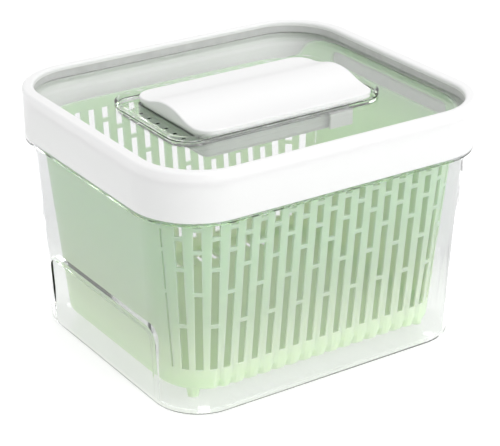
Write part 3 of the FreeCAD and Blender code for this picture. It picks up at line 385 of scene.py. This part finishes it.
# %% Pouch blank
POUCH_CORNER = 0.006
POUCH_SLACK = 0.0006
POUCH_BLANK_SHARE = 0.55
POUCH_CELL = 0.0016

low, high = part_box("carbon_filter")
pouch_middle = (low + high) / 2
pouch_size = high - low


def pouch_blank():
    """A thin box with round corners, in place."""
    shape = bmesh.new()
    bmesh.ops.create_cube(shape, size=1.0)
    size = (
        pouch_size.x - 2 * POUCH_SLACK,
        pouch_size.y - 2 * POUCH_SLACK,
        pouch_size.z * POUCH_BLANK_SHARE,
    )
    bmesh.ops.scale(shape, vec=size, verts=shape.verts)
    upright = [e for e in shape.edges if abs(e.verts[0].co.z - e.verts[1].co.z) > size[2] / 2]
    bmesh.ops.bevel(
        shape, geom=upright, offset=POUCH_CORNER, segments=6, profile=0.5,
        affect="EDGES", material=-1
    )
    bmesh.ops.translate(shape, vec=pouch_middle, verts=shape.verts)
    mesh = bpy.data.meshes.new("filter_pouch")
    shape.to_mesh(mesh)
    shape.free()
    return mesh


pouch = bpy.data.objects.new("filter_pouch", pouch_blank())
bpy.context.scene.collection.objects.link(pouch)
print("pouch's box:", [round(v * 1000, 1) for v in pouch_size], "mm")

# %% Pouch blown up
POUCH_PRESSURE = 4.0
POUCH_FRAMES = 20
POUCH_RISE = 0.0011


def apply_modifiers(piece):
    """Puts what the modifiers make into the piece's own mesh."""
    graph = bpy.context.evaluated_depsgraph_get()
    made = bpy.data.meshes.new_from_object(piece.evaluated_get(graph))
    piece.modifiers.clear()
    piece.data = made


remesh = pouch.modifiers.new("even cells", "REMESH")
remesh.mode = "VOXEL"
remesh.voxel_size = POUCH_CELL
apply_modifiers(pouch)
rest_points = [v.co.copy() for v in pouch.data.vertices]
cloth = pouch.modifiers.new("cloth", "CLOTH")
cloth.settings.use_pressure = True
cloth.settings.uniform_pressure_force = POUCH_PRESSURE
cloth.settings.effector_weights.gravity = 0.0
for number in range(1, POUCH_FRAMES + 1):
    bpy.context.scene.frame_set(number)
apply_modifiers(pouch)
bpy.context.scene.frame_set(1)
for point, start in zip(pouch.data.vertices, rest_points):
    step = point.co - start
    if step.length > POUCH_RISE:
        point.co = start + step * (POUCH_RISE / step.length)
pouch.data.shade_smooth()
smooth = pouch.modifiers.new("smooth", "SUBSURF")
smooth.levels = 1
smooth.render_levels = 1
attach(pouch, "filter_door")
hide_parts("carbon_filter")
print("pouch cells:", len(pouch.data.polygons))

# %% [markdown]
# ## Filter cloth
# The pouch is a non-woven cloth, a felt of short fibres pressed flat, with black grains showing
# faintly through it. Two noises give that: a long, fine one for the fibres and a coarser one for
# the grains.

# %% Filter cloth
felt, felt_shader = start_finish("filter_cloth")
grains = skin_noise(felt, per_metre=700.0, detail=3.0)
vary_colour(
    felt, grains, felt_shader.inputs["Base Color"],
    at_low=(0.45, 0.45, 0.44), at_high=(0.66, 0.66, 0.64)
)
felt_shader.inputs["Sheen Weight"].default_value = 0.3
felt_shader.inputs["Sheen Roughness"].default_value = 0.6
fibres = skin_noise(felt, per_metre=5000.0, detail=4.0, stretch=(0.3, 1.0, 1.0))
vary(felt, fibres, felt_shader.inputs["Roughness"], low=0.8, high=0.95)
raise_skin(felt, fibres, depth=0.0002, strength=0.5)
pouch.data.materials.clear()
pouch.data.materials.append(felt)
print(felt.name, "on filter_pouch")

# %% [markdown]
# ## Floor and light
# The object stands in a white studio, on a table that is lit from below. The floor is a plain pale
# plane with a little light of its own: some for everything, which brightens the upright walls, and
# more for the camera and for what glass and gloss show of it, which lifts it to white while the
# shadow under the object stays. The world is a soft white dome at a plain level, and two large
# lamps give the long front wall and the top of the lid more light than the left end, as in a studio
# with its window on the right.

# %% Floor
FLOOR_HALF = 4.0
FLOOR_TONE = 0.55
FLOOR_GLOW = 0.26
FLOOR_GLOW_SEEN = 0.66


def background_rays(tree):
    """A socket that is 1 for rays from the camera and for those that gloss or glass send on."""
    path = tree.nodes.new("ShaderNodeLightPath")
    sharp = tree.nodes.new("ShaderNodeMath")
    sharp.operation = "MAXIMUM"
    seen = tree.nodes.new("ShaderNodeMath")
    seen.operation = "MAXIMUM"
    tree.links.new(path.outputs["Is Glossy Ray"], sharp.inputs[0])
    tree.links.new(path.outputs["Is Transmission Ray"], sharp.inputs[1])
    tree.links.new(path.outputs["Is Camera Ray"], seen.inputs[0])
    tree.links.new(sharp.outputs["Value"], seen.inputs[1])
    return seen.outputs["Value"]


floor_shape = bmesh.new()
bmesh.ops.create_grid(floor_shape, x_segments=1, y_segments=1, size=FLOOR_HALF)
floor_mesh = bpy.data.meshes.new("floor")
floor_shape.to_mesh(floor_mesh)
floor_shape.free()
floor = bpy.data.objects.new("floor", floor_mesh)
bpy.context.scene.collection.objects.link(floor)
paper, paper_shader = start_finish("studio_paper")
paper_shader.inputs["Base Color"].default_value = (*neutral(FLOOR_TONE), 1.0)
paper_shader.inputs["Roughness"].default_value = 0.6
paper_shader.inputs["Specular IOR Level"].default_value = 0.2
paper_shader.inputs["Emission Color"].default_value = (1.0, 1.0, 1.0, 1.0)
lift = paper.node_tree.nodes.new("ShaderNodeMapRange")
lift.inputs["To Min"].default_value = FLOOR_GLOW
lift.inputs["To Max"].default_value = FLOOR_GLOW_SEEN
paper.node_tree.links.new(background_rays(paper.node_tree), lift.inputs["Value"])
paper.node_tree.links.new(lift.outputs["Result"], paper_shader.inputs["Emission Strength"])
floor_mesh.materials.append(paper)
print("floor made,", 2 * FLOOR_HALF, "m wide")

# %% World and lamps
DOME_LEVEL = 0.87
DOME_LEVEL_SEEN = 1.0

world = bpy.data.worlds.new("studio")
world.use_nodes = True
bpy.context.scene.world = world
dome = world.node_tree.nodes["Background"]
dome.inputs["Color"].default_value = (1.0, 1.0, 1.0, 1.0)
level = world.node_tree.nodes.new("ShaderNodeMapRange")
level.inputs["To Min"].default_value = DOME_LEVEL
level.inputs["To Max"].default_value = DOME_LEVEL_SEEN
world.node_tree.links.new(background_rays(world.node_tree), level.inputs["Value"])
world.node_tree.links.new(level.outputs["Result"], dome.inputs["Strength"])


def soft_lamp(name, direction, distance, size, power):
    """A square lamp that faces the object from a direction."""
    data = bpy.data.lights.new(name, "AREA")
    data.size = size
    data.energy = power
    lamp = bpy.data.objects.new(name, data)
    line = Vector(direction).normalized()
    lamp.location = CAMERA_TARGET + distance * line
    lamp.rotation_euler = line.to_track_quat("Z", "Y").to_euler()
    bpy.context.scene.collection.objects.link(lamp)


soft_lamp("front_lamp", (0.4, -0.85, 0.45), distance=1.6, size=1.0, power=7.5)
soft_lamp("top_lamp", (0.0, 0.1, 1.0), distance=1.6, size=1.2, power=0.3)
bpy.context.scene.view_settings.view_transform = "Standard"
print("dome and two lamps made")
